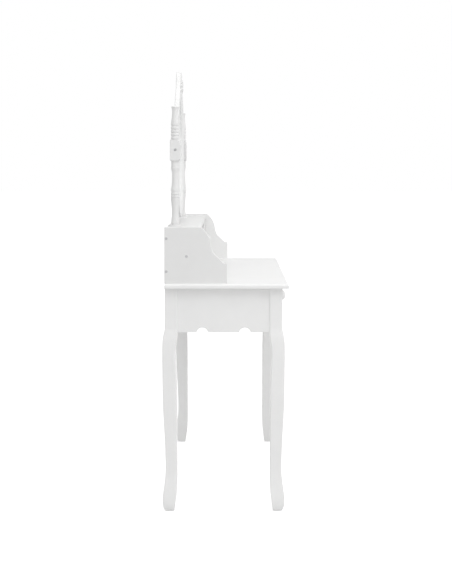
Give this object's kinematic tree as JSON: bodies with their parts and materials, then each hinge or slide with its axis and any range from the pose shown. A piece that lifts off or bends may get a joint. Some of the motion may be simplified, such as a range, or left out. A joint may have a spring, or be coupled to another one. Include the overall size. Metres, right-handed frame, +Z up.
{
  "type": "dressing table",
  "caption": "White dressing table on cabriole legs, with table drawers, a hutch with small drawers, and an oval mirror that tilts between turned posts.",
  "frame": {"origin": "on the floor, under the middle of the table's box", "axes": "+X to the table's right end as seen by a person in front of it, -Y to its front, where that person sits, +Z up"},
  "size_m": [0.8, 0.4067, 1.452],
  "materials": {
    "white_paint": "white satin paint on wood",
    "drawer_box_paint": "thin matt white paint on wood",
    "drawer_fibreboard": "white-faced fibreboard",
    "back_fibreboard": "bare brown fibreboard",
    "bare_wood": "planed, unfinished",
    "dowel_wood": "fluted beech, unfinished",
    "zinc_steel": "zinc plated",
    "mirror_silver": "silvered glass",
    "glide_plastic": "hard plastic"
  },
  "bodies": {
    "table": {"apron_dowels": "dowel_wood", "back_apron": "white_paint", "corner_blocks": "bare_wood", "corner_bolts": "zinc_steel", "drawer_divider": "white_paint", "drawer_runners": "bare_wood", "foot_glides": "glide_plastic", "front_apron": "white_paint", "hutch_back": "white_paint", "hutch_divider_left": "white_paint", "hutch_divider_right": "white_paint", "hutch_dowels": "dowel_wood", "hutch_runners": "bare_wood", "hutch_screws": "zinc_steel", "hutch_side_left": "white_paint", "hutch_side_right": "white_paint", "hutch_top": "white_paint", "leg_front_left": "white_paint", "leg_front_right": "white_paint", "leg_rear_left": "white_paint", "leg_rear_right": "white_paint", "post_base_discs": "white_paint", "post_bolts": "zinc_steel", "post_left": "white_paint", "post_right": "white_paint", "runner_battens": "bare_wood", "side_apron_left": "white_paint", "side_apron_right": "white_paint", "tabletop": "white_paint"},
    "drawer_left": {"drawer_left_back": "drawer_box_paint", "drawer_left_bottom": "drawer_fibreboard", "drawer_left_front": "white_paint", "drawer_left_knob": "white_paint", "drawer_left_knob_screw": "zinc_steel", "drawer_left_sides": "drawer_box_paint"},
    "drawer_right": {"drawer_right_back": "drawer_box_paint", "drawer_right_bottom": "drawer_fibreboard", "drawer_right_front": "white_paint", "drawer_right_knob": "white_paint", "drawer_right_knob_screw": "zinc_steel", "drawer_right_sides": "drawer_box_paint"},
    "hutch_drawer_left": {"hutch_drawer_left_back": "drawer_box_paint", "hutch_drawer_left_bottom": "drawer_fibreboard", "hutch_drawer_left_front": "white_paint", "hutch_drawer_left_knob": "white_paint", "hutch_drawer_left_knob_screw": "zinc_steel", "hutch_drawer_left_sides": "drawer_box_paint"},
    "hutch_drawer_right": {"hutch_drawer_right_back": "drawer_box_paint", "hutch_drawer_right_bottom": "drawer_fibreboard", "hutch_drawer_right_front": "white_paint", "hutch_drawer_right_knob": "white_paint", "hutch_drawer_right_knob_screw": "zinc_steel", "hutch_drawer_right_sides": "drawer_box_paint"},
    "mirror": {"back_board_screws": "zinc_steel", "mirror_back_board": "back_fibreboard", "mirror_carving": "white_paint", "mirror_frame": "white_paint", "mirror_glass": "mirror_silver", "pivot_bolts": "zinc_steel", "pivot_spacers": "zinc_steel"}
  },
  "joints": [
    {"name": "drawer_left_slide", "type": "slide", "parent": "table", "child": "drawer_left", "axis": [0, -1, 0], "range_m": [0, 0.24]},
    {"name": "drawer_right_slide", "type": "slide", "parent": "table", "child": "drawer_right", "axis": [0, -1, 0], "range_m": [0, 0.24]},
    {"name": "hutch_drawer_left_slide", "type": "slide", "parent": "table", "child": "hutch_drawer_left", "axis": [0, -1, 0], "range_m": [0, 0.06]},
    {"name": "hutch_drawer_right_slide", "type": "slide", "parent": "table", "child": "hutch_drawer_right", "axis": [0, -1, 0], "range_m": [0, 0.06]},
    {"name": "mirror_tilt", "type": "hinge", "parent": "table", "child": "mirror", "pos_m": [0, 0.17015, 1.165], "axis": [1, 0, 0], "range_deg": [-35, 35]}
  ]
}
